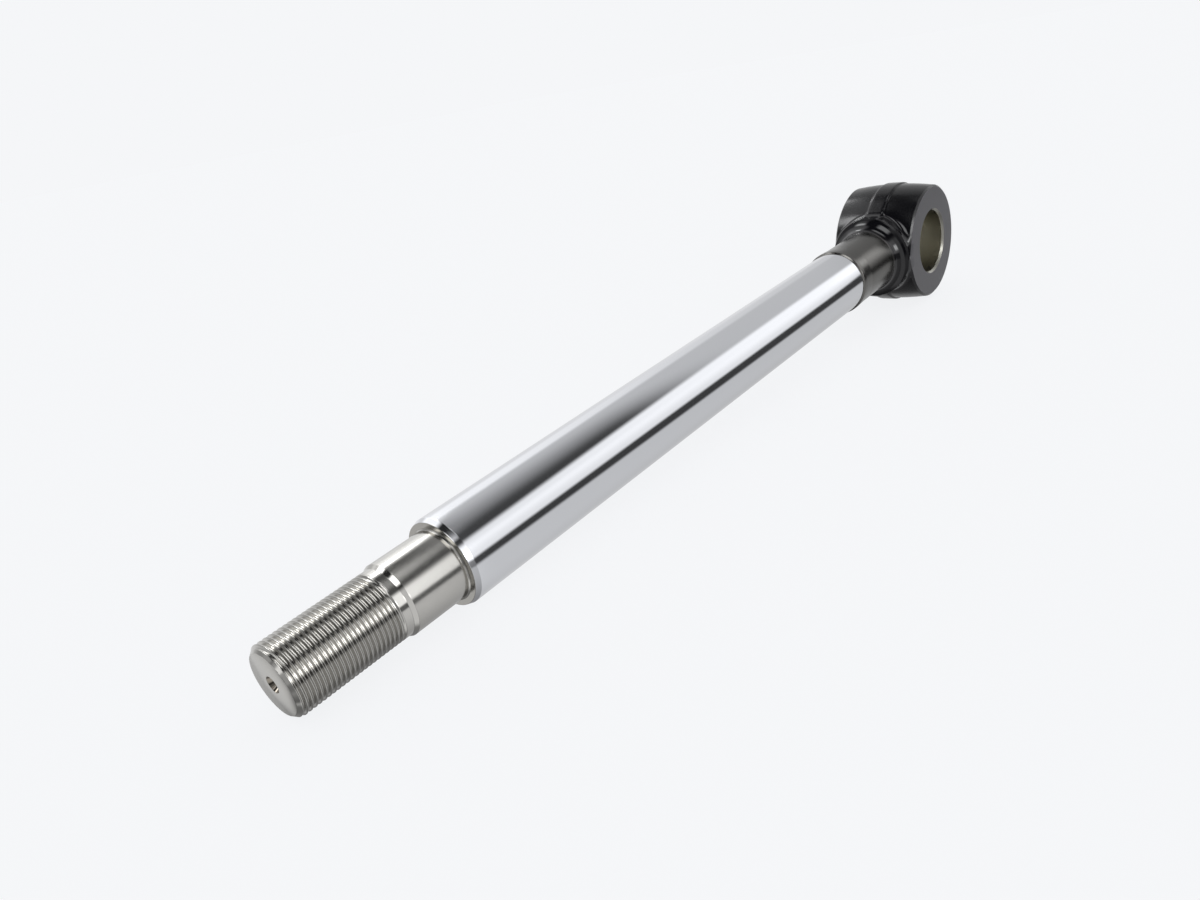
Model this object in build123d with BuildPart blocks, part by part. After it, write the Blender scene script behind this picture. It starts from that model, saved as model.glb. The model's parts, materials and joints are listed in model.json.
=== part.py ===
from build123d import *
import os
from math import sqrt, tan, radians

# Chrome-plated piston rod of a hydraulic cylinder, in millimetres.
# A forged eye is friction-welded to a turned and plated bar.
# The origin is the middle of the eye's bore. The bore runs along Y, the rod along +X.

# Lengths along the rod, measured from the middle of the bore
eye_to_weld = 95.7
eye_to_shoulder = 443.0

# Plated bar
rod_diameter = 40.0
weld_rim = 0.4
lead_in_length = 2.5
lead_in_depth = 0.9

# Seat for the piston, with a small bevel at its root against the shoulder
seat_diameter = 32.0
seat_length = 25.9
seat_root_bevel = 0.6
seat_lead_angle = 30.0

# Threaded end, drawn at the thread's outer diameter
thread_diameter = 30.0
plain_length = 3.4
thread_length = 47.0
end_chamfer = 2.1

# Centre hole in the end face
centre_mouth_diameter = 7.0
centre_drill_diameter = 3.2
centre_drill_depth = 7.5
centre_angle = 60.0
drill_tip_angle = 118.0

# Forged eye
head_diameter = 80.0
head_width = 55.0
crown_radius = 188.0
front_sector = 120.0  # degrees of the barrel that face the rod
face_bevel = 1.2

# Trimmed parting band that runs round the forging
band_width = 11.3
band_height = 0.9
band_blend = 9.0

# Boss that joins the eye to its neck
boss_diameter = 54.4
boss_blend = 4.5

# Bore for the pivot pin
bore_diameter = 42.0
bore_bevel = 1.3

# Turned neck between the boss and the weld
neck_diameter = 40.8
root_radius = 10.6
root_run_out = 0.5  # share of the root's quarter turn that runs out through the boss
wall_setback = 0.7
collar_diameter = 41.7
collar_rise = 9.0
collar_length = 4.0
weld_bevel = 0.9

# Places worked out from the sizes
rod_r = rod_diameter / 2
seat_r = seat_diameter / 2
thread_r = thread_diameter / 2
head_r = head_diameter / 2
boss_r = boss_diameter / 2
neck_r = neck_diameter / 2
collar_r = collar_diameter / 2
mouth_r = centre_mouth_diameter / 2
drill_r = centre_drill_diameter / 2
seat_lead = (seat_r - thread_r) / tan(radians(seat_lead_angle))
seat_end = eye_to_shoulder + seat_length
rod_end = seat_end + seat_lead + plain_length + thread_length
cone_depth = (mouth_r - drill_r) / tan(radians(centre_angle / 2))
tip_depth = drill_r / tan(radians(drill_tip_angle / 2))

os.makedirs("parts", exist_ok=True)

# Turned bar: one profile from the weld to the threaded end, turned about X.
# The centre hole is part of the profile, so the axis edge starts at its tip.
with BuildPart() as chrome_bar:
    with BuildSketch(Plane.XY) as bar_profile:
        with BuildLine() as bar_outline:
            Polyline(
                (rod_end - centre_drill_depth - tip_depth, 0),
                (eye_to_weld, 0),
                (eye_to_weld, rod_r - weld_rim),
                (eye_to_weld + weld_rim, rod_r),
                (eye_to_shoulder - lead_in_length, rod_r),
                (eye_to_shoulder, rod_r - lead_in_depth),
                (eye_to_shoulder, seat_r + seat_root_bevel),
                (eye_to_shoulder + seat_root_bevel, seat_r),
                (seat_end, seat_r),
                (seat_end + seat_lead, thread_r),
                (rod_end - end_chamfer, thread_r),
                (rod_end, thread_r - end_chamfer),
                (rod_end, mouth_r),
                (rod_end - cone_depth, drill_r),
                (rod_end - centre_drill_depth, drill_r),
                (rod_end - centre_drill_depth - tip_depth, 0),
            )
        make_face()
    revolve(axis=Axis.X)

chrome_bar.part.label = "chrome_bar"
export_step(chrome_bar.part, "parts/chrome_bar.step")

# Forged eye: a crowned barrel about Y with a round boss toward the rod.
# The barrel is forged wider than it stays, so that the blend round the boss
# runs clear past both faces before they are machined.
forged_width = 1.6 * head_width
forged_drop = crown_radius - sqrt(crown_radius**2 - (forged_width / 2) ** 2)
wall_x = head_r - wall_setback

with BuildPart() as rod_eye:
    # One profile is carried round Y twice, first through the sector that the boss stands on
    for start, sector in ((front_sector / 2, front_sector), (-front_sector / 2, 360 - front_sector)):
        with BuildSketch(Plane.XY.rotated((0, -start, 0))) as barrel_profile:
            with BuildLine() as barrel_outline:
                crown = ThreePointArc(
                    (head_r - forged_drop, -forged_width / 2),
                    (head_r, 0),
                    (head_r - forged_drop, forged_width / 2),
                )
                Polyline(crown @ 1, (0, forged_width / 2), (0, -forged_width / 2), crown @ 0)
            make_face()
        revolve(axis=Axis.Y, revolution_arc=sector)
    barrel_edges = rod_eye.edges()

    with BuildSketch(Plane.YZ) as boss_section:
        Circle(boss_r)
    extrude(amount=eye_to_weld)
    boss_root = (rod_eye.edges() - barrel_edges).filter_by(
        lambda edge: 0 < edge.center().X < head_r and abs(edge.center().Y) < boss_r
    )
    fillet(boss_root.filter_by(GeomType.BSPLINE), boss_blend)

    # Parting band: the eye's side outline, one band height proud, as wide as the trimmed flash
    with BuildSketch(Plane.XZ) as band_outline:
        Circle(head_r + band_height)
        with Locations((eye_to_weld / 2, 0)):
            Rectangle(eye_to_weld, boss_diameter)
        inner_corners = band_outline.vertices().filter_by(lambda corner: 0 < corner.X < head_r)
        fillet(inner_corners, band_blend)
    extrude(amount=band_width / 2, both=True)

    # Machined faces, with their edges broken
    Box(4 * eye_to_weld, head_width, 4 * eye_to_weld, mode=Mode.INTERSECT)
    side_faces = rod_eye.faces().filter_by(Axis.Y).sort_by(Axis.Y)
    chamfer([side_faces[0].outer_wire().edges(), side_faces[-1].outer_wire().edges()], face_bevel)

    # Turned neck: everything outside this profile is cut away, from the boss to the weld.
    # Its root is one radius, drawn as a short arc through the boss and a curve down to the neck.
    with BuildSketch(Plane.XY) as turning_profile:
        with BuildLine() as turning_outline:
            root_centre = (wall_x + root_radius, neck_r + root_radius)
            root_circle = CenterArc(root_centre, root_radius, 180, 90, mode=Mode.PRIVATE)
            run_out = ThreePointArc(
                root_circle @ 0,
                root_circle @ (root_run_out / 2),
                root_circle @ root_run_out,
            )
            root_curve = Spline(
                run_out @ 1,
                root_circle @ ((root_run_out + 1) / 2),
                root_circle @ 1,
                tangents=[run_out % 1, (1, 0)],
            )
            Polyline(
                root_curve @ 1,
                (eye_to_weld - collar_length - collar_rise, neck_r),
                (eye_to_weld - collar_length, collar_r),
                (eye_to_weld - weld_bevel, collar_r),
                (eye_to_weld, collar_r - weld_bevel),
                (eye_to_weld, head_diameter),
                (wall_x, head_diameter),
                run_out @ 0,
            )
        make_face()
    revolve(axis=Axis.X, mode=Mode.SUBTRACT)

    # Bore for the pivot pin
    with BuildSketch(Plane.XZ) as bore_section:
        Circle(bore_diameter / 2)
    extrude(amount=head_width, both=True, mode=Mode.SUBTRACT)
    machined_faces = rod_eye.faces().filter_by(Axis.Y).group_by(Axis.Y)
    bore_mouths = (machined_faces[0] + machined_faces[-1]).edges().filter_by(GeomType.CIRCLE)
    chamfer(bore_mouths.filter_by(lambda edge: edge.radius < head_r / 1.5), bore_bevel)

rod_eye.part.label = "rod_eye"
export_step(rod_eye.part, "parts/rod_eye.step")
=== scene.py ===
# %% [markdown]
# A hydraulic cylinder's piston rod. It is a turned bar with hard chrome on it, welded to a forged eye
# that is painted black. The part's solids come in as a fixed frame, in metres: the origin is the middle
# of the eye's bore, the bore runs along Y and the rod along +X. Everything below takes its places from
# that frame, so nothing is moved to fit.

# %% Load the frame
import json
import bpy
import bmesh
import numpy as np
from mathutils import Matrix, Vector


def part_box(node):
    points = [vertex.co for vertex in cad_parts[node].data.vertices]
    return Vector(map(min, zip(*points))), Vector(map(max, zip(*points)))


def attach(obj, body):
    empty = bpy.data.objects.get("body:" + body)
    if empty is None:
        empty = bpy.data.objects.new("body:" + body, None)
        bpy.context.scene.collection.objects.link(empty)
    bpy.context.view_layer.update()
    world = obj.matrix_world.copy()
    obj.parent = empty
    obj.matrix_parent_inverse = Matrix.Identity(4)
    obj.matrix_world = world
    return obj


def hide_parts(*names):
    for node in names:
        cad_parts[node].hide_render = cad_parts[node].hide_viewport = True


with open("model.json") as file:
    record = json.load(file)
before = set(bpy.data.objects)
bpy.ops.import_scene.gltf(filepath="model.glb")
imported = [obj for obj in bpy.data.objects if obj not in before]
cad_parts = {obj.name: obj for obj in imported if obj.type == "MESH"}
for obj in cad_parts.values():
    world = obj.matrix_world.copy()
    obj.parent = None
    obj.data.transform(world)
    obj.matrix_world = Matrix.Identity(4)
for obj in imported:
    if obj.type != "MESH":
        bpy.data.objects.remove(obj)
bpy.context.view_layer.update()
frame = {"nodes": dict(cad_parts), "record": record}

mm = 0.001
mounts = {mount["name"]: mount for mount in frame["record"]["mounts"]}
print("frame:", sorted(frame["nodes"]), "mounts:", sorted(mounts))

# %% [markdown]
# The camera comes first, because every finish is judged through it. It looks down the rod from the
# threaded end, at the angle of the reference picture, and is rolled a little, so it is placed by its own
# three directions.

# %% Place the camera
camera_place = Vector((609.1, 265.0, 176.8)) * mm
camera_right = Vector((-0.6232, 0.7580, -0.1928)).normalized()
camera_ahead = Vector((-0.6439, -0.6371, -0.4236)).normalized()
camera_up = camera_right.cross(camera_ahead).normalized()
camera_right = camera_ahead.cross(camera_up)

camera_data = bpy.data.cameras.new("portrait")
camera_data.sensor_width = 36.0
camera_data.lens = 26.38
camera_data.clip_start = 0.01
camera = bpy.data.objects.new("portrait", camera_data)
bpy.context.scene.collection.objects.link(camera)
camera_turn = Matrix((camera_right, camera_up, -camera_ahead)).transposed()
camera.matrix_world = Matrix.Translation(camera_place) @ camera_turn.to_4x4()
bpy.context.scene.camera = camera
print("camera at", [round(v / mm, 1) for v in camera_place], "mm")

# %% [markdown]
# The rod can't balance on its narrow end, so it lies on the floor and touches it twice: at the bottom of
# the eye's parting band and at the last full section of the chrome. The floor is the plane that touches
# both circles from below, so it tilts against the rod by a few degrees.

# %% Work out the floor
rod_r = mounts["rod_surface"]["dims"]["r_mm"] * mm
shoulder_x = mounts["shoulder_face"]["pos_m"][0]
lead_in_length = 2.5 * mm
chrome_end = shoulder_x - lead_in_length
band_r = -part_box("rod_eye")[0].z
floor_reach = np.hypot(chrome_end, rod_r)
floor_tilt = np.arcsin(band_r / floor_reach) - np.arctan2(rod_r, chrome_end)
floor_normal = Vector((-np.sin(floor_tilt), 0.0, np.cos(floor_tilt)))
print("floor tilt", round(np.degrees(floor_tilt), 2), "degrees")

# %% [markdown]
# Shader maths is easiest to read as arithmetic. A Signal stands for one output of a node, and plus,
# minus and times add the Math nodes. A mask is then one line, where bare nodes and links take a dozen.

# %% Shader arithmetic
class Signal:
    """One number or vector that a node tree works out at each point of a surface."""

    def __init__(self, finish, socket):
        self.finish = finish
        self.socket = socket

    def math(self, operation, first, second):
        return self.finish.add("ShaderNodeMath", {"operation": operation}, {0: first, 1: second})

    def __add__(self, other):
        return self.math("ADD", self, other)

    def __radd__(self, other):
        return self.math("ADD", other, self)

    def __sub__(self, other):
        return self.math("SUBTRACT", self, other)

    def __rsub__(self, other):
        return self.math("SUBTRACT", other, self)

    def __mul__(self, other):
        return self.math("MULTIPLY", self, other)

    def __rmul__(self, other):
        return self.math("MULTIPLY", other, self)

    def __pow__(self, other):
        return self.math("POWER", self, other)

    def step(self, low, high):
        """A smooth step: 0 below low, 1 above high. With low above high it falls instead."""
        limits = {0: self, 1: low, 2: high, 3: 0.0, 4: 1.0}
        if low > high:
            limits = {0: self, 1: high, 2: low, 3: 1.0, 4: 0.0}
        return self.finish.add("ShaderNodeMapRange", {"interpolation_type": "SMOOTHSTEP"}, limits)

    def between(self, low, high, soft):
        """A mask that is 1 from low to high, with edges that are soft wide."""
        return self.step(low - soft, low + soft) * self.step(high + soft, high - soft)


print("shader arithmetic ready")

# %% [markdown]
# A Finish holds the node tree of one material or of the world. Its method add makes every other kind of
# node: the settings come first, then the values or links of the sockets. The methods after it are the
# few patterns that the finishes share.

# %% Node trees
class Finish:
    """The node tree of one material or of the world."""

    def __init__(self, tree):
        self.tree = tree
        tree.nodes.clear()

    def add(self, kind, settings=None, sockets=None, output=0):
        """Adds a node, sets its settings and then its sockets, and returns one of its outputs."""
        node = self.tree.nodes.new(kind)
        for name, value in (settings or {}).items():
            setattr(node, name, value)
        for name, value in (sockets or {}).items():
            if isinstance(value, Signal):
                self.tree.links.new(value.socket, node.inputs[name])
            else:
                node.inputs[name].default_value = value
        return Signal(self, node.outputs[output]) if node.outputs else None

    def parts(self, vector):
        """A vector's x, y and z as three signals."""
        split = self.add("ShaderNodeSeparateXYZ", None, {0: vector}).socket.node
        return [Signal(self, socket) for socket in split.outputs]

    def place(self):
        """The point on the object in millimetres, as a vector and as three signals."""
        here = self.add("ShaderNodeTexCoord", output="Object")
        scaled = self.add("ShaderNodeVectorMath", {"operation": "SCALE"}, {0: here, "Scale": 1 / mm})
        return scaled, self.parts(scaled)

    def blend(self, mask, first, second):
        """A colour that goes from first to second as the mask goes from 0 to 1."""
        sockets = {0: mask, 6: first, 7: second}
        return self.add("ShaderNodeMix", {"data_type": "RGBA"}, sockets, output=2)

    def noise(self, vector, scale, detail, roughness=0.5):
        """Soft noise about 0.5."""
        sockets = {"Vector": vector, "Scale": scale, "Detail": detail, "Roughness": roughness}
        return self.add("ShaderNodeTexNoise", None, sockets)

    def stretch(self, vector, x, y, z):
        """The same place with its axes scaled, for a pattern that runs along one of them."""
        return self.add("ShaderNodeVectorMath", {"operation": "MULTIPLY"}, {0: vector, 1: (x, y, z)})


def material(name):
    """A new node material and the Finish that fills it."""
    new = bpy.data.materials.new(name)
    new.use_nodes = True
    return new, Finish(new.node_tree)


print("node trees ready")

# %% [markdown]
# Every turned form is one profile carried round the rod's axis. The profile is a list of corners, each
# with the radius that the edge really has: a lathe leaves a sharp edge, and a worker breaks it with a
# file. Those small rounds are what catches the light as thin bright lines, so they are real geometry.

# %% Turned surfaces
round_steps = 4
side_share = 0.42
least_support = 0.05 * mm
most_support = 0.12 * mm
support_share = 0.3


def rounded_corner(corner, before, after, radius):
    """The points of one rounded corner, between its neighbours before and after.

    The arc is the quadratic curve (1 - t)^2 start + 2 t (1 - t) corner + t^2 end, where start and end
    lie one tangent length from the corner. One more point at each side keeps the shading of the flat
    next to it level.
    """
    before = before - corner
    after = after - corner
    before_length = np.hypot(*before)
    after_length = np.hypot(*after)
    before = before / before_length
    after = after / after_length
    half_turn = 0.5 * np.arccos(np.clip(-before @ after, -1.0, 1.0))
    tangent = min(radius * np.tan(half_turn), side_share * before_length, side_share * after_length)
    start = corner + before * tangent
    end = corner + after * tangent
    t = np.linspace(0.0, 1.0, round_steps + 1)[:, None]
    arc = (1 - t) ** 2 * start + 2 * t * (1 - t) * corner + t**2 * end
    support = min(most_support, support_share * tangent + least_support)
    return np.concatenate([[start + before * support], arc, [end + after * support]])


def eased(corners):
    """A profile's points. Each corner is (x, r, radius), and a radius above 0 rounds it."""
    places = np.array(corners)[:, :2]
    radii = [radius for x, r, radius in corners]
    points = [places[:1]]
    for index in range(1, len(corners) - 1):
        before, corner, after = places[index - 1:index + 2]
        rounded = radii[index] > 0
        points.append(rounded_corner(corner, before, after, radii[index]) if rounded else corner[None])
    return np.concatenate(points + [places[-1:]])


def carried_round(x, r, angles):
    """A grid of points (x, r cos a, r sin a): one row for each profile point, one column for each angle.

    x and r are columns of the profile, or whole grids where the surface isn't a plain turned one.
    """
    return np.stack([x + 0 * angles, r * np.cos(angles), r * np.sin(angles)], axis=-1)


print("a rounded corner has", round_steps + 3, "points")

# %% [markdown]
# A grid of points becomes faces by joining each point to its neighbours. Several grids make one closed
# surface where they share their border points, and those are merged. The number of open edges is
# printed, because a hole in the surface would show as a dark line.

# %% Meshes and pieces
merge_distance = 0.0005 * mm


def mesh_from_grids(name, grids):
    """One closed mesh from grids whose columns run all the way round, joined where they meet.

    Each grid comes with its lead: how many rows further on the first column meets the last one. It is
    0 on a plain turned surface, and one turn's rows on a helical one.
    """
    points = []
    faces = []
    start = 0
    for grid, lead in grids:
        rows, columns = grid.shape[:2]
        index = start + np.arange(rows * columns).reshape(rows, columns)
        turned_index = np.roll(index, -1, axis=1)
        turned_index[:, -1] = index[np.minimum(np.arange(rows) + lead, rows - 1), 0]
        quads = np.stack([index[:-1], index[1:], turned_index[1:], turned_index[:-1]], axis=-1)
        faces.append(quads.reshape(-1, 4))
        points.append(grid.reshape(-1, 3))
        start += rows * columns
    mesh = bpy.data.meshes.new(name)
    mesh.from_pydata(np.concatenate(points).tolist(), [], np.concatenate(faces).tolist())
    shape = bmesh.new()
    shape.from_mesh(mesh)
    bmesh.ops.remove_doubles(shape, verts=shape.verts, dist=merge_distance)
    bmesh.ops.dissolve_degenerate(shape, dist=merge_distance, edges=shape.edges)
    bmesh.ops.recalc_face_normals(shape, faces=shape.faces)
    if shape.calc_volume(signed=True) < 0:
        bmesh.ops.reverse_faces(shape, faces=shape.faces)
    open_edges = sum(1 for edge in shape.edges if len(edge.link_faces) != 2)
    volume = shape.calc_volume(signed=True) * 1e6
    triangles = sum(len(face.verts) - 2 for face in shape.faces)
    shape.to_mesh(mesh)
    shape.free()
    mesh.polygons.foreach_set("use_smooth", np.ones(len(mesh.polygons), bool))
    print(name, "triangles", triangles, "open edges", open_edges, "volume cm3", round(volume, 2))
    return mesh


def piece(name, mesh, finish):
    """Puts a finished mesh into the scene as a piece of the rod, at the origin."""
    thing = bpy.data.objects.new(name, mesh)
    bpy.context.scene.collection.objects.link(thing)
    mesh.materials.append(finish)
    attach(thing, "root")
    return thing


print("grids are merged within", round(merge_distance / mm, 4), "mm")

# %% [markdown]
# The thread is metric, 30 mm across with a 2 mm pitch, so a piston nut can be drawn up hard. It was cut
# on a lathe. Its grid leans with the helix: a row keeps its place in the thread's profile, and moves
# along the rod by one pitch for each turn of the angle, so crests and roots are never jagged. Where
# the thread starts, the tool is drawn out of the cut and the groove gets shallow.

# %% The thread's helical grid
weld_x, rod_end = [corner.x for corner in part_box("chrome_bar")]
thread_mount = mounts["rod_thread"]
thread_r = thread_mount["dims"]["r_mm"] * mm
thread_mount_length = thread_mount["dims"]["length_mm"] * mm
lead_end = thread_mount["pos_m"][0] - thread_mount_length / 2
end_chamfer = rod_end - lead_end - thread_mount_length
plain_length = 3.4 * mm
thread_start = lead_end + plain_length
before_thread = 0.1 * mm
thread_pitch = 2.0 * mm
thread_depth = 1.2 * mm
run_out_length = 2.6 * mm
run_out_power = 0.7
crest_share = 0.08
flank_share = 0.385
flank_ease = 0.35
flank_rows = np.array((0.0, 0.13, 0.3, 0.5, 0.7, 0.87, 1.0))
round_columns = 192
angles = np.linspace(0, 2 * np.pi, round_columns, endpoint=False)[None, :]


def groove_depth(share):
    """How far below the crest the cut lies, for a place in the profile from 0 to 1.

    The crest is level about 0. Each flank falls as t - k sin(2 pi t) / (2 pi), which is steep in its
    middle and rounds off into the crest and the root.
    """
    from_crest = np.abs(((share + 0.5) % 1.0) - 0.5)
    fall = np.clip((from_crest - crest_share / 2) / flank_share, 0.0, 1.0)
    return thread_depth * (fall - flank_ease * np.sin(2 * np.pi * fall) / (2 * np.pi))


def thread_grid():
    """Rows follow the helix: x = start + pitch * (row + angle / full turn), kept inside the thread."""
    flank = crest_share / 2 + flank_share * flank_rows
    share = np.concatenate([[0.0], flank, 1.0 - flank[::-1]])
    turns = np.arange(-1, int((rod_end - thread_start) / thread_pitch) + 2)
    rows = (turns[:, None] + share[None, :]).reshape(-1, 1)
    x = thread_start + thread_pitch * (rows + angles / (2 * np.pi))
    x = np.clip(x, thread_start, rod_end)
    run_out = np.clip((x - thread_start) / run_out_length, 0.0, 1.0) ** run_out_power
    r = thread_r - run_out * groove_depth(rows + 0 * angles)
    chamfer_r = thread_r - end_chamfer + (rod_end - x)
    return x, np.minimum(r, chamfer_r), len(share)


thread_x, thread_radius, rows_a_turn = thread_grid()
print("thread grid", thread_x.shape, "root radius mm", round(thread_radius.min() / mm, 2))

# %% [markdown]
# The bar is one closed surface: from the weld along the chrome, over the lead-in chamfer and the
# shoulder, along the piston's seat to the thread, and round the end into the centre hole that the
# lathe's centre ran in. It could be left as the solid, but the solid has plain facets and no thread,
# so this surface stands in for it, with the same lengths and diameters.

# %% The turned bar
seat_mount = mounts["piston_seat"]
seat_r = seat_mount["dims"]["r_mm"] * mm
seat_end = seat_mount["pos_m"][0] + seat_mount["dims"]["length_mm"] * mm / 2
seat_root_bevel = 0.6 * mm
weld_rim = 0.4 * mm
lead_in_depth = 0.9 * mm
centre_mouth_r = 3.5 * mm
centre_drill_r = 1.6 * mm
centre_drill_depth = 7.5 * mm
centre_cone_half_angle = np.radians(30)
centre_tip_half_angle = np.radians(59)
centre_cone_depth = (centre_mouth_r - centre_drill_r) / np.tan(centre_cone_half_angle)
centre_tip_depth = centre_drill_r / np.tan(centre_tip_half_angle)

shank = eased([
    (weld_x, 0.0, 0.0),
    (weld_x, rod_r - weld_rim, 0.05 * mm),
    (weld_x + weld_rim, rod_r, 0.1 * mm),
    (chrome_end, rod_r, 0.5 * mm),
    (shoulder_x, rod_r - lead_in_depth, 0.2 * mm),
    (shoulder_x, seat_r + seat_root_bevel, 0.2 * mm),
    (shoulder_x + seat_root_bevel, seat_r, 0.2 * mm),
    (seat_end, seat_r, 0.3 * mm),
    (lead_end, thread_r, 0.3 * mm),
    (thread_start - before_thread, thread_r, 0.0),
    (thread_start, thread_r, 0.0),
])
end_face = eased([
    (rod_end, thread_r - end_chamfer, 0.0),
    (rod_end, centre_mouth_r, 0.15 * mm),
    (rod_end - centre_cone_depth, centre_drill_r, 0.2 * mm),
    (rod_end - centre_drill_depth, centre_drill_r, 0.1 * mm),
    (rod_end - centre_drill_depth - centre_tip_depth, 0.0, 0.0),
])
bar_mesh = mesh_from_grids("piston_rod_bar", [
    (carried_round(shank[:, :1], shank[:, 1:], angles), 0),
    (carried_round(thread_x, thread_radius, angles), rows_a_turn),
    (carried_round(end_face[:, :1], end_face[:, 1:], angles), 0),
])

# %% [markdown]
# The eye was forged as a crowned barrel with a round boss toward the rod, and a trimmed parting band runs
# round both. That skin is given by one level function, which is negative inside the metal. A ray from
# the pin's axis meets it once, so each point of the grid is found by halving the way along its ray. The
# solid has the same form, but its facets would show as breaks in the gloss.

# %% The forging's skin
band_height = 0.9 * mm
band_edge = 5.3 * mm
band_blend = 9.0 * mm
band_inset = 0.015 * mm
band_edge_round = 0.35 * mm
band_wall_slope = 0.6
band_foot_round = 0.12 * mm
head_r = band_r - band_height
crown_radius = 188.0 * mm
half_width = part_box("rod_eye")[1].y
face_bevel = 1.2 * mm
boss_r = 27.2 * mm
boss_blend = 4.5 * mm
far_off = 10 * head_r


def rounded_union(first, second, width):
    """The lower of two levels, with the hollow corner between them filled by a quarter circle."""
    filled = np.hypot(np.maximum(width - first, 0), np.maximum(width - second, 0))
    return np.maximum(width, np.minimum(first, second)) - filled


def head_level(x, y, z):
    """The barrel and the boss.

    The barrel is the distance from the pin's axis less the crown's radius at y, and the boss is the
    distance from the rod's axis less its own radius. The blend is narrower where the two surfaces lean
    the same way: its width is the radius times one minus the cosine between their normals.
    """
    from_pin = np.hypot(x, z)
    from_rod = np.hypot(y, z)
    barrel = from_pin - head_r + crown_radius - np.sqrt(crown_radius**2 - y**2)
    boss = np.where(x > 0, from_rod - boss_r, far_off)
    lean = z**2 / (from_pin * from_rod) + y**2 / (crown_radius * from_rod)
    return rounded_union(barrel, boss, boss_blend * (1 - lean))


def band_level(x, y, z):
    """The parting band: the side outline drawn a little prouder, with walls that fall past its edges."""
    from_pin = np.hypot(x, z)
    sides = np.where(x > 0, np.abs(z) - boss_r, far_off)
    corner_width = band_blend * (1 - np.abs(z) / from_pin)
    outline = rounded_union(from_pin - band_r + band_inset, sides, corner_width)
    past = np.abs(y) - band_edge
    return outline + band_wall_slope * (past + np.hypot(past, band_edge_round))


def skin_level(x, y, z):
    """Negative inside the forging, zero on its skin and positive outside it.

    It is the lower of head and band, with a small round at the band's foot, cut off at the machined
    faces and by the bevel at their edges, which lies at 45 degrees.
    """
    head = head_level(x, y, z)
    band = band_level(x, y, z)
    skin = 0.5 * (head + band - np.hypot(head - band, band_foot_round))
    past = np.abs(y) - half_width
    return np.maximum(np.maximum(skin, past), (skin + past + face_bevel) * np.sqrt(0.5))


print("skin level at the band, mm:", round(float(skin_level(-band_r, 0.0, 1e-9)) / mm, 3))

# %% [markdown]
# The neck was turned out of the boss with one large root radius. Where the root cuts through the
# forging's skin there is a ring, which moves to and fro along the rod as it goes round. It is found
# first, on the root's arc, because the two halves of the eye and the root itself all start on its points.
# That way their seams close exactly.

# %% The ring where the root meets the skin
root_r = 10.6 * mm
neck_r = 20.4 * mm
wall_setback = 0.7 * mm
root_x = head_r - wall_setback + root_r
ring_half = 96
halvings = 40


def halve(level, inside, outside):
    """The place between inside and outside where the level changes its sign."""
    for step in range(halvings):
        middle = (inside + outside) / 2
        beyond = level(middle) > 0
        inside = np.where(beyond, inside, middle)
        outside = np.where(beyond, middle, outside)
    return inside


def root_point(turn, phi):
    """A point of the root: the arc's place by its turn from the wall, then carried round the rod."""
    r = neck_r + root_r * (1 - np.sin(turn))
    return root_x - root_r * np.cos(turn), r * np.cos(phi), r * np.sin(phi)


phi = np.linspace(-np.pi / 2, 1.5 * np.pi, 2 * ring_half, endpoint=False)
quarter = np.full(phi.shape, np.pi / 2)
ring_turn = halve(lambda turn: skin_level(*root_point(turn, phi)), quarter, 0 * phi)
ring_x, ring_y, ring_z = root_point(ring_turn, phi)
print("ring along the rod, mm:", round(ring_x.min() / mm, 2), "to", round(ring_x.max() / mm, 2))

# %% [markdown]
# The eye is made of two halves, one the mirror image of the other. A half's columns stand round the
# pin's axis. The near ones start on the ring, and the others, closer together next to it, start on the
# middle plane. Beside the boss the ring stands almost upright, so the columns that start there fan out a
# little as they rise.

# %% Columns round the pin's axis
open_columns = 110
crowding = 0.10
fan_columns = 8
fan_step = np.radians(0.08)

near = slice(0, ring_half + 1)
near_theta = np.arctan2(ring_z, ring_x)[near]
even = np.linspace(0.0, 1.0, open_columns + 1)[1:-1]
crowded = even - crowding * np.sin(2 * np.pi * even)
open_theta = near_theta[-1] + crowded * (2 * np.pi + near_theta[0] - near_theta[-1])
none = 0 * open_theta
theta = np.concatenate([near_theta, open_theta])[None, :]
start_y = np.concatenate([ring_y[near], none])[None, :]
start_rho = np.concatenate([np.hypot(ring_x, ring_z)[near], none])[None, :]

column = np.arange(ring_half + 1)
from_end = np.minimum(column, ring_half - column)
fan = fan_step * np.maximum(fan_columns - from_end, 0) * np.sign(column - ring_half / 2)
fan = np.concatenate([fan, none])[None, :]
print("columns", theta.size, "of which", near_theta.size, "start on the ring")

# %% [markdown]
# The rows rise from the middle plane to the machined face. They lie close together at the band's edges,
# where the skin bends most. From the skin's last row a few more cross the face, and then the bevel leads
# down into the bore.

# %% One half of the eye
fan_height = 6.0 * mm
bore_r = mounts["eye_bore"]["dims"]["r_mm"] * mm
bore_bevel = 1.3 * mm
just_inside = 1e-5
levels = np.concatenate([
    (0.0, 1.5, 3.0, 4.2, 4.9, 5.1, 5.25, 5.35, 5.43, 5.5, 5.57, 5.65, 5.75, 5.85, 5.95, 6.05, 6.2),
    np.arange(7.0, 26.0, 0.8),
    (26.3, 26.7, 27.1, 27.5 - just_inside),
])
face_shares = np.array((0.35, 0.7, 1.0))[:, None]
bore_shares = np.array((1.0, 0.75, 0.5, 0.25, 0.0))[:, None]

skin_y = np.maximum(levels[:, None] * mm, start_y)
skin_theta = theta + fan * np.clip((skin_y - start_y) / fan_height, 0.0, 1.0)
cos_theta, sin_theta = np.cos(skin_theta), np.sin(skin_theta)
ray_start = np.full(skin_y.shape, 0.6 * head_r)
ray_end = 3 * ray_start
skin_rho = halve(lambda rho: skin_level(rho * cos_theta, skin_y, rho * sin_theta), ray_start, ray_end)
skin_rho = np.where((skin_y <= start_y) & (start_rho > 0), start_rho, skin_rho)

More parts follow.
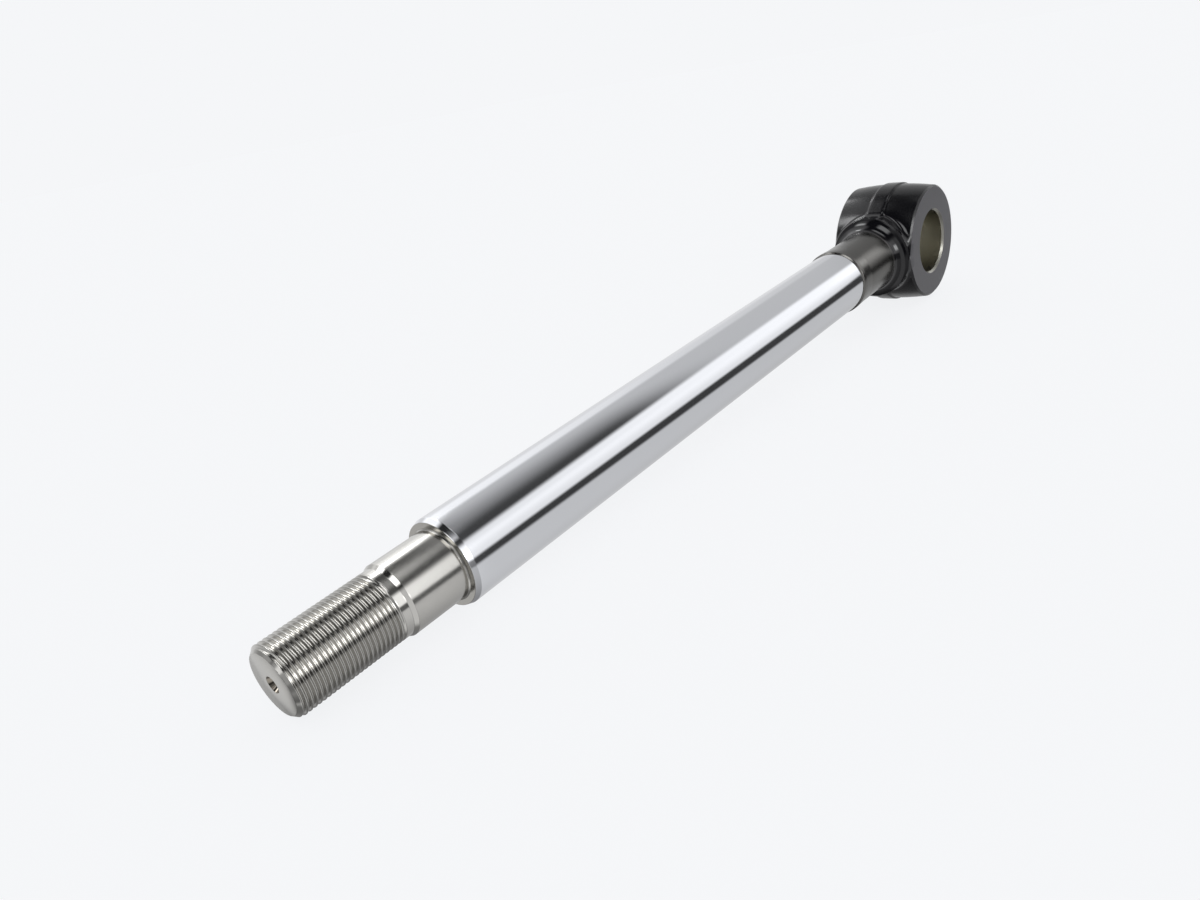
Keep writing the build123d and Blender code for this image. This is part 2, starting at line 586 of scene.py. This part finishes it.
face_rho = skin_rho[-1:] + (bore_r + bore_bevel - skin_rho[-1:]) * face_shares
face_y = half_width + 0 * face_rho
bore_y = (half_width - bore_bevel) * bore_shares + 0 * theta
bore_rho = bore_r + 0 * bore_y
half_rho = np.concatenate([skin_rho, face_rho, bore_rho])
half_y = np.concatenate([skin_y, face_y, bore_y])
half_theta = np.concatenate([skin_theta, skin_theta[-1:] + 0 * face_rho, skin_theta[-1:] + 0 * bore_y])
half = np.stack([half_rho * np.cos(half_theta), half_y, half_rho * np.sin(half_theta)], axis=-1)
print("half of the eye has rows and columns", half.shape[:2])

# %% [markdown]
# The root runs down to the neck, and the neck ends in a collar at the weld. The neck has short rows next
# to the root, because long ones would bend the lights that it mirrors. Real edges are marked sharp, and
# everything else is shaded smooth.

# %% The root, the neck and the whole eye
collar_r = 20.85 * mm
collar_start = 13.0 * mm
collar_length = 4.0 * mm
weld_bevel = 0.9 * mm
root_row_count = 14
sharp_angle = 30.0
past_root = np.array((0.0, 0.5, 1.2, 2.5, 4.5, 7.5, 11.0, 15.0, 19.0)) * mm

arc = np.linspace(0.0, 1.0, root_row_count)[:, None]
root_rows = ring_turn[None, :] + (np.pi / 2 - ring_turn)[None, :] * arc
root_grid = np.stack(root_point(root_rows, phi[None, :]), axis=-1)
neck = eased([(root_x + step, neck_r, 0.0) for step in past_root] + [
    (weld_x - collar_start, neck_r, 8.0 * mm),
    (weld_x - collar_length, collar_r, 4.0 * mm),
    (weld_x - weld_bevel, collar_r, 0.3 * mm),
    (weld_x, collar_r - weld_bevel, 0.05 * mm),
    (weld_x, 0.0, 0.0),
])
eye_mesh = mesh_from_grids("forged_eye", [
    (half, 0),
    (half * np.array((1.0, -1.0, 1.0)), 0),
    (root_grid, 0),
    (carried_round(neck[:, :1], neck[:, 1:], phi[None, :]), 0),
])
eye_mesh.set_sharp_from_angle(angle=float(np.radians(sharp_angle)))

# %% [markdown]
# Hard chrome is a mirror that a belt polished round the rod, bluish grey in itself. Past the chamfer the
# steel is bare: the shoulder and the seat are finely turned and satin, the thread is brighter, and the
# end face shows the rings of the facing cut. The shoulder face and the centre hole are coloured darker
# than the rest of the steel, which is painted shade. Each zone is a mask on the place along the rod, so
# the borders fall exactly on the edges of the form.

# %% Zones and marks of the bar
plated_steel, f = material("plated_steel")
place, (px, py, pz) = f.place()
from_axis = (py * py + pz * pz) ** 0.5
shoulder_mm, seat_end_mm, rod_end_mm = shoulder_x / mm, seat_end / mm, rod_end / mm
bare = px.step(shoulder_mm - 0.15, shoulder_mm - 0.05)
on_shoulder = bare * px.step(shoulder_mm + 0.3, shoulder_mm + 0.1)
on_seat = px.between(shoulder_mm + 0.5, seat_end_mm, 0.1)
on_end = px.step(rod_end_mm - 0.06, rod_end_mm - 0.03)
centre_mm = centre_mouth_r / mm
# The centre hole, where the colour is darkened as painted shade.
hole_shade_mask = px.step(lead_end / mm, thread_start / mm) * from_axis.step(centre_mm + 0.1, centre_mm - 0.1)

polish_marks = f.noise(f.stretch(place, 2.2, 0.05, 0.05), 1.0, 3.0)
turning_marks = f.noise(f.stretch(place, 6.0, 0.12, 0.12), 1.0, 2.0)
grind_marks = f.noise(f.stretch(place, 0.35, 1.6, 1.6), 1.0, 3.0)
facing_rings = f.add("ShaderNodeMath", {"operation": "SINE"}, {0: from_axis * 16.0})
smudges = f.noise(place, 0.06, 3.0)
print("bar zones at", [round(x, 1) for x in (shoulder_mm, seat_end_mm, rod_end_mm)], "mm")

# %% [markdown]
# The metals take their colour from the zone and their gloss from the marks, and the darker colours of the
# shoulder face and the centre hole are painted shade. The marks are far finer than anything worth
# modelling, so they are a bump. Its height is small, because a mirror shows every slope.

# %% Chrome and bare turned steel
chrome_colour = (0.80, 0.81, 0.84, 1.0)
steel_colour = (0.52, 0.51, 0.485, 1.0)
# Painted shade: the shoulder face is a darker copy of the bare steel's colour.
shoulder_shade_colour = (0.37, 0.36, 0.335, 1.0)
# Painted shade: the centre hole is darker and browner than the bare steel.
hole_shade_colour = (0.30, 0.27, 0.23, 1.0)
chrome_roughness = 0.07
smudge_roughness = 0.03
steel_roughness = 0.02
seat_roughness = 0.02
grain_roughness = 0.10
end_roughness = 0.20
shoulder_roughness = 0.10
mark_depth = 0.01 * mm
mark_strength = 0.25

colour = f.blend(bare, chrome_colour, steel_colour)
# Painted shade on the shoulder face.
colour = f.blend(on_shoulder, colour, shoulder_shade_colour)
# Painted shade in the centre hole.
colour = f.blend(hole_shade_mask, colour, hole_shade_colour)
roughness = chrome_roughness + smudge_roughness * smudges + bare * steel_roughness
roughness = roughness + on_seat * (seat_roughness + grain_roughness * grind_marks)
roughness = roughness + on_end * end_roughness + on_shoulder * shoulder_roughness
height = on_seat * (grind_marks * 0.35 + turning_marks * 0.25) + on_end * facing_rings * 0.12
height = height + on_shoulder * facing_rings * 0.10 + (1 - bare) * polish_marks * 0.08
bump_sockets = {"Strength": mark_strength, "Distance": mark_depth, "Height": height}
bump = f.add("ShaderNodeBump", None, bump_sockets)
shader = f.add("ShaderNodeBsdfPrincipled", None, {
    "Base Color": colour,
    "Metallic": 1.0,
    "Roughness": roughness,
    "Normal": bump,
})
f.add("ShaderNodeOutputMaterial", None, {"Surface": shader})

bar = piece("piston_rod_bar", bar_mesh, plated_steel)
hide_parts("chrome_bar")
print("bar dressed")

# %% [markdown]
# The eye is a drop forging under one coat of black gloss paint, thick enough to flow level on the turned
# root and thin over the forging's skin, whose scale shows through where a lamp is mirrored. The machined
# faces are satin. On the neck the paint is so thin that the dark steel shines through it. The bore was
# masked and stays bare, with the fine marks of the boring tool running round it.

# %% Zones and marks of the eye
black_paint, f = material("black_paint")
place, (px, py, pz) = f.place()
from_pin = (px * px + pz * pz) ** 0.5
from_rod = (py * py + pz * pz) ** 0.5
from_middle = f.add("ShaderNodeMath", {"operation": "ABSOLUTE"}, {0: py})
bore_mm, mouth_mm, face_mm = bore_r / mm, (bore_r + bore_bevel) / mm, half_width / mm
bare = from_pin.step(mouth_mm + 0.05, mouth_mm - 0.05)
on_bevel = bare * from_pin.step(bore_mm + 0.05, bore_mm + 0.15)
on_face = from_middle.step(face_mm - 0.10, face_mm - 0.02) * (1 - bare)
turned = px.step(39.7, 40.0)
on_neck = px.step(47.0, 51.0)
forged = (1 - turned) * (1 - on_face) * (1 - bare)
thin_coat = forged * from_rod.step(28.0, 34.0)

scale = f.noise(place, 0.5, 4.0, 0.65)
skin = f.noise(place, 0.9, 3.0)
bore_marks = f.noise(f.stretch(place, 0.15, 4.0, 0.15), 1.0, 3.0)
print("bore", round(bore_mm, 1), "mouth", round(mouth_mm, 1), "face", round(face_mm, 1), "mm")

# %% [markdown]
# The paint is nearly black and mirrors only a few hundredths of the light, so it shows lamps and little
# else. The neck and the bore are metal in the same material, by the masks. A bevel in the normals rounds
# the eye's edges as a coat of paint does, which would take a great many faces as geometry.

# %% Black paint over a forging
paint_dark = (0.003, 0.003, 0.004, 1.0)
paint_light = (0.006, 0.006, 0.008, 1.0)
face_colour = (0.088, 0.086, 0.094, 1.0)
neck_colour = (0.138, 0.134, 0.127, 1.0)
bore_colour = (0.52, 0.505, 0.44, 1.0)
bore_bevel_colour = (0.24, 0.235, 0.21, 1.0)
paint_roughness = 0.07
coat_roughness = 0.07
scale_roughness = 0.12
face_roughness = 0.28
neck_roughness = 0.15
bore_roughness = 0.14
boring_roughness = 0.08
paint_ior = 1.46
edge_round = 0.3 * mm
scale_depth = 0.12 * mm
scale_strength = 0.45

colour = f.blend(skin, paint_dark, paint_light)
colour = f.blend(on_face, colour, face_colour)
colour = f.blend(on_neck, colour, neck_colour)
colour = f.blend(bare, colour, bore_colour)
colour = f.blend(on_bevel, colour, bore_bevel_colour)
metal = bare + on_neck * (1 - bare)
roughness = paint_roughness + thin_coat * (coat_roughness + scale_roughness * scale)
roughness = roughness + on_face * face_roughness + on_neck * neck_roughness
roughness = roughness + bare * (bore_roughness + boring_roughness * bore_marks)
height = forged * (scale * 0.8 + skin * 0.2) + bare * bore_marks * 0.08
broken_edge = f.add("ShaderNodeBevel", {"samples": 6}, {"Radius": edge_round})
bump_sockets = {"Strength": scale_strength, "Distance": scale_depth, "Height": height}
bump = f.add("ShaderNodeBump", None, {**bump_sockets, "Normal": broken_edge})
shader = f.add("ShaderNodeBsdfPrincipled", None, {
    "Base Color": colour,
    "Metallic": metal,
    "Roughness": roughness,
    "IOR": paint_ior,
    "Normal": bump,
})
f.add("ShaderNodeOutputMaterial", None, {"Surface": shader})

eye = piece("forged_eye", eye_mesh, black_paint)
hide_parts("rod_eye")
print("eye painted")

# %% [markdown]
# The room is a plain pale studio. A mirror shows the room and not itself, so the streaks along the chrome
# are the room's soft boxes. Two numbers name a direction in it: the angle round the rod's axis, and how
# far the direction leans toward the threaded end, which is its x. Seen along the rod, each box fills a
# band of angles, so a list of angles and lights describes the room. Lamps and cards could do the same,
# but each streak would then need one of its own, and they would throw spots on the floor.

# %% Directions in the room
world = bpy.data.worlds.new("studio")
bpy.context.scene.world = world
world.use_nodes = True
f = Finish(world.node_tree)
dx, dy, dz = f.parts(f.add("ShaderNodeTexCoord", output="Generated"))
round_rod = f.add("ShaderNodeMath", {"operation": "ARCTAN2"}, {0: dz, 1: dy}) * float(np.degrees(1))


def lit(mask, before, after):
    """The room's light where a band with this mask lies over what was there before."""
    return before + (after - before) * mask


def bands(light, edges):
    """Lights that follow one another: past each edge (coordinate, low, high, light) its light holds."""
    for coordinate, low, high, after in edges:
        light = lit(coordinate.step(low, high), light, after)
    return light


print("the room is laid out by the angle round the rod and by x")

# %% [markdown]
# The chrome and the neck mirror the part of the room that lies toward the eye. Below is the table, then
# come a dark gap at its edge, the near box, the ceiling and the far box. A dark panel with a slanted edge
# hangs under the ceiling, on the side of the threaded end. Only the neck mirrors the farthest part, where
# the near box starts higher and is brighter.

# %% The room toward the eye
eye_end = dx.step(-0.46, -0.90)
neck_end = dx.step(-0.845, -0.900)
thread_end = 1 - eye_end
table_light = 0.60 - 0.06 * round_rod.between(-115.0, -85.0, 25.0) + 0.04 * thread_end
near_light = 0.92 + 0.75 * neck_end * round_rod.between(30.0, 50.0, 9.0)
near_light = near_light + 0.28 * round_rod.step(5.0, 36.0)
near_light = near_light - 0.25 * thread_end * round_rod.step(24.0, 40.0)
near_edge = 47.0 + 14.0 * eye_end
panel = dx.step(-0.80, -0.66) * (round_rod - 70.0 * dx.step(-0.86, -0.64)).step(62.0, -4.0)
ceiling_light = lit(panel, 0.585 - 0.15 * neck_end, 0.055 + 0.10 * round_rod.step(60.0, 90.0))
eye_room = bands(0.80, [
    (round_rod, -170.0, -125.0, table_light),
    (round_rod + 7.0 * eye_end, -20.0, -11.0, 0.05),
    (round_rod - 16.0 * neck_end, -2.0, 6.0, near_light),
    (round_rod - near_edge, -7.0, 6.0, ceiling_light),
    (round_rod, 128.0, 142.0, 0.66 + 0.45 * thread_end),
    (round_rod, 156.0, 176.0, 0.80),
])
print("room toward the eye:", len(world.node_tree.nodes), "nodes so far")

# %% [markdown]
# The bare seat, the plain part and the thread's crests mirror the part over the threaded end. Its boxes
# are brighter, and two cards hang in its dark gap, one for the seat and one for the crests. Two small
# lamps are there for the paint, which mirrors too little light to show the boxes as highlights.

# %% The room over the thread
past_seat = dx.step(-0.40, -0.36)
near_lamp = 6.5 * dx.step(-0.27, -0.17) * round_rod.between(11.0, 25.0, 4.0)
far_lamp = 9.0 * dx.between(-0.44, -0.37, 0.02) * round_rod.between(129.0, 140.0, 4.0)
low_light = (0.48 + 0.45 * round_rod.step(-110.0, -20.0)) * (1.0 - 0.45 * past_seat)
gap_light = 0.11 - 0.09 * dx.step(-0.36, -0.15) * round_rod.step(40.0, 58.0)
far_edge = 123.0 - 10.0 * dx.step(-0.40, -0.05)
far_light = 1.65 - 0.45 * dx.step(-0.30, -0.10) + far_lamp
seat_card = round_rod.between(67.0, 88.0, 6.0) * dx.between(-0.487, -0.418, 0.012)
thread_card = round_rod.between(62.0, 96.0, 8.0) * dx.between(-0.375, -0.18, 0.03)
thread_room = bands(0.85, [
    (round_rod, -160.0, -130.0, low_light),
    (round_rod, -16.0, -10.0, 0.17),
    (round_rod, 0.0, 6.0, 1.65 - 0.25 * past_seat + near_lamp),
    (round_rod, 34.0, 48.0, gap_light),
])
thread_room = lit(seat_card, thread_room, 0.62)
thread_room = lit(thread_card, thread_room, 2.4)
thread_room = bands(thread_room, [
    (round_rod - far_edge, -8.0, 8.0, far_light),
    (round_rod, 152.0, 166.0, 1.12 - 0.37 * past_seat),
])
print("room over the thread:", len(world.node_tree.nodes), "nodes so far")

# %% [markdown]
# The chamfers, the end face, the thread's front flanks and the eye's root mirror what stands before the
# rod's end. Three parts follow each other along x: one beside the rod for the seat's chamfer and the
# root, one ahead for the end face, and one straight ahead for the end's chamfer and the front flanks.

# %% The room before the rod's end
end_light = 0.62 + 0.26 * round_rod.step(-180.0, -165.0)
front_lamp = 6.0 * dx.between(0.24, 0.44, 0.06)
beside = bands(end_light, [
    (round_rod, -135.0, -120.0, 0.22),
    (round_rod, -95.0, -75.0, 0.92),
    (round_rod, 34.0, 50.0, 0.03),
])
beside = lit(round_rod.between(60.0, 90.0, 6.0), beside, 3.6)
beside = bands(beside, [
    (round_rod, 116.0, 126.0, 1.2 + front_lamp),
    (round_rod, 134.0, 146.0, 0.40),
    (round_rod, 165.0, 180.0, 0.62),
])
ahead = bands(end_light, [
    (round_rod, -135.0, -120.0, 0.18 + 0.30 * round_rod.step(-80.0, -40.0)),
    (round_rod, -25.0, -8.0, 0.04),
    (round_rod, 12.0, 24.0, 0.22),
    (round_rod, 44.0, 58.0, 0.50),
    (round_rod, 66.0, 76.0, 0.03),
    (round_rod, 116.0, 128.0, 0.50),
    (round_rod, 165.0, 180.0, 0.62),
])
straight_ahead = bands(0.24, [(round_rod, -30.0, -8.0, 0.50)])
straight_ahead = lit(round_rod.between(62.0, 98.0, 8.0), straight_ahead, 1.3)
straight_ahead = bands(straight_ahead, [
    (round_rod, 132.0, 146.0, 1.0),
    (dx, 0.965, 0.985, 0.10),
])
print("room before the end:", len(world.node_tree.nodes), "nodes so far")

# %% [markdown]
# The parts are joined along x into one room. Only mirrored rays see it. All other rays get one even
# light, so that the boxes don't spot the floor, and the camera itself sees the pale background.

# %% The world's light
even_light = 0.75
room_colour = (0.985, 0.99, 1.0, 1.0)
background_colour = (0.913, 0.922, 0.939, 1.0)
room = bands(eye_room, [
    (dx, -0.50, -0.44, thread_room),
    (dx, 0.12, 0.28, beside),
    (dx, 0.59, 0.67, ahead),
    (dx, 0.82, 0.88, straight_ahead),
])
mirrored = f.add("ShaderNodeLightPath", output="Is Glossy Ray")
strength = lit(mirrored, even_light, room)
room_light = f.add("ShaderNodeBackground", None, {"Color": room_colour, "Strength": strength})
pale = f.add("ShaderNodeBackground", None, {"Color": background_colour, "Strength": 1.0})
seen = f.add("ShaderNodeLightPath", output="Is Camera Ray")
surface = f.add("ShaderNodeMixShader", None, {0: seen, 1: room_light, 2: pale})
f.add("ShaderNodeOutputWorld", None, {"Surface": surface})
print("studio lit by", len(world.node_tree.nodes), "nodes")

# %% [markdown]
# The floor is plain and pale. To the camera it glows with the background's own colour, less where the
# rod keeps the room's light off it, which leaves a soft shadow under the rod and no horizon. The rod's
# mirror surfaces look through it at the studio's own table, which lies in the same place.

# %% The floor
floor_size = 8.0
shadow_share = 0.12
glow_level = 1.053
floor_colour = (0.80, 0.81, 0.82, 1.0)
side = Vector((0.0, 1.0, 0.0)) * floor_size
along = side.cross(floor_normal)
middle = floor_normal * -band_r
corners = [middle + along * a + side * b for a, b in ((-1, -1), (1, -1), (1, 1), (-1, 1))]
floor_mesh = bpy.data.meshes.new("floor")
floor_mesh.from_pydata([tuple(corner) for corner in corners], [], [(0, 1, 2, 3)])
floor = bpy.data.objects.new("floor", floor_mesh)
bpy.context.scene.collection.objects.link(floor)

floor_paint, f = material("pale_floor")
seen = f.add("ShaderNodeLightPath", output="Is Camera Ray")
mirrored = f.add("ShaderNodeLightPath", output="Is Glossy Ray")
matt = f.add("ShaderNodeBsdfDiffuse", None, {"Color": floor_colour})
glow = f.add("ShaderNodeEmission", None, {"Color": background_colour, "Strength": glow_level})
clear = f.add("ShaderNodeBsdfTransparent")
surface = f.add("ShaderNodeMixShader", None, {0: mirrored, 1: matt, 2: clear})
surface = f.add("ShaderNodeMixShader", None, {0: seen * (1 - shadow_share), 1: surface, 2: glow})
f.add("ShaderNodeOutputMaterial", None, {"Surface": surface})
floor_mesh.materials.append(floor_paint)
print("floor laid")

# %% [markdown]
# The picture is shown in plain Standard colours.

# %% Finish
bpy.context.scene.view_settings.view_transform = "Standard"
